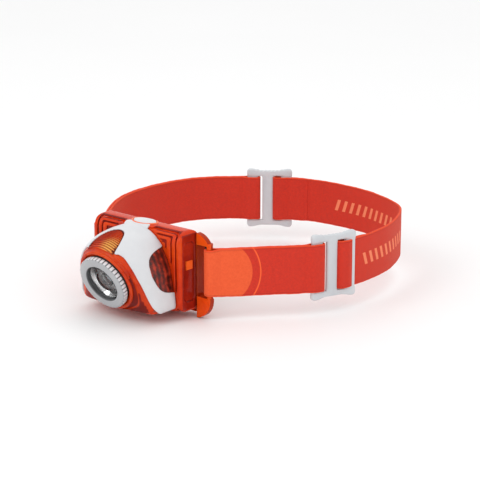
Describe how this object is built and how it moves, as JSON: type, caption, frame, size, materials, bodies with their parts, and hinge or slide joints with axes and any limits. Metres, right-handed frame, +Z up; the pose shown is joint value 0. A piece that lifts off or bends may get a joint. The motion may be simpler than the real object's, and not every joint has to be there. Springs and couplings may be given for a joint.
{
  "type": "headlamp",
  "caption": "Headlamp with a tilting lamp head, turn-to-focus ring, battery case with sliding door, push button, forehead pad and adjustable elastic headband.",
  "frame": {"origin": "centre of the forehead pad's rear face, which rests on the wearer's forehead", "axes": "+Y towards the wearer's head, +Z up, the light shines towards -Y"},
  "size_m": [0.1561, 0.1898, 0.0464],
  "materials": {
    "bracket_plastic": "gloss",
    "foam": "matte",
    "steel": "satin",
    "webbing": "woven",
    "buckle_plastic": "satin",
    "case_plastic": "gloss, translucent",
    "housing_plastic": "gloss, translucent",
    "white_shell": "satin",
    "ring_plastic": "satin",
    "black_plastic": "matte",
    "seal_rubber": "matte",
    "seal_orange": "satin",
    "lens_clear": "polished",
    "reflector_metal": "polished",
    "heat_sink_metal": "satin",
    "led_yellow": "gloss",
    "board_green": "satin",
    "board_white": "satin",
    "cell_wrap": "gloss",
    "contact_metal": "satin",
    "wire_red": "satin",
    "prism_clear": "gloss, translucent"
  },
  "bodies": {
    "band": {"bracket": "bracket_plastic", "forehead_pad": "foam", "hinge_pin": "steel", "hinge_washers": "steel", "front_strap_right": "webbing", "front_strap_left": "webbing", "rear_strap": "webbing"},
    "lamp": {"battery_case": "case_plastic", "battery_cells": "cell_wrap", "contact_springs": "contact_metal", "contact_plates": "contact_metal", "front_housing": "housing_plastic", "shell_cover": "white_shell", "prism_panel": "prism_clear", "reflector": "reflector_metal", "led_chip": "led_yellow", "led_board": "board_white", "heat_sink": "heat_sink_metal", "mount_screws": "steel", "driver_board": "board_green", "driver_chips": "black_plastic", "led_wires": "wire_red", "switch_board": "board_green", "tact_switch": "black_plastic", "button_seal": "seal_orange", "side_windows": "prism_clear"},
    "door": {"battery_door": "case_plastic"},
    "focus": {"focus_ring": "ring_plastic", "ring_seal": "seal_rubber"},
    "lens_unit": {"lens_carrier": "black_plastic", "lens": "lens_clear"},
    "push_button": {"button": "white_shell"},
    "buckle_r": {"buckle_right": "buckle_plastic"},
    "buckle_l": {"buckle_left": "buckle_plastic"}
  },
  "joints": [
    {"name": "tilt", "type": "hinge", "parent": "band", "child": "lamp", "pos_m": [0, -0.0055, -0.0212], "axis": [1, 0, 0], "range_deg": [0, 60]},
    {"name": "battery_door_slide", "type": "slide", "parent": "lamp", "child": "door", "axis": [0, 0, 1], "range_m": [0, 0.036]},
    {"name": "focus_turn", "type": "hinge", "parent": "lamp", "child": "focus", "pos_m": [0, -0.04576, -0.00506], "axis": [0, -0.9317, -0.3633], "range_deg": [0, 120]},
    {"name": "lens_slide", "type": "slide", "parent": "lamp", "child": "lens_unit", "axis": [0, 0.9317, 0.3633], "range_m": [0, 0.003]},
    {"name": "button_press", "type": "slide", "parent": "lamp", "child": "push_button", "axis": [0, 0, -1], "range_m": [0, 0.0005], "stiffness_N_per_m": 800, "springref_m": -0.001},
    {"name": "buckle_right_slide", "type": "slide", "parent": "band", "child": "buckle_r", "axis": [0.349, 0.9371, 0], "range_m": [-0.008, 0.008], "deforming": ["front_strap_right", "rear_strap"]},
    {"name": "buckle_left_slide", "type": "slide", "parent": "band", "child": "buckle_l", "axis": [0.7916, 0.611, 0], "range_m": [-0.008, 0.008], "deforming": ["front_strap_left", "rear_strap"]}
  ],
  "couplings": [
    {"joint": "focus_turn", "follows": "lens_slide", "rad_per_m": 698.13}
  ]
}
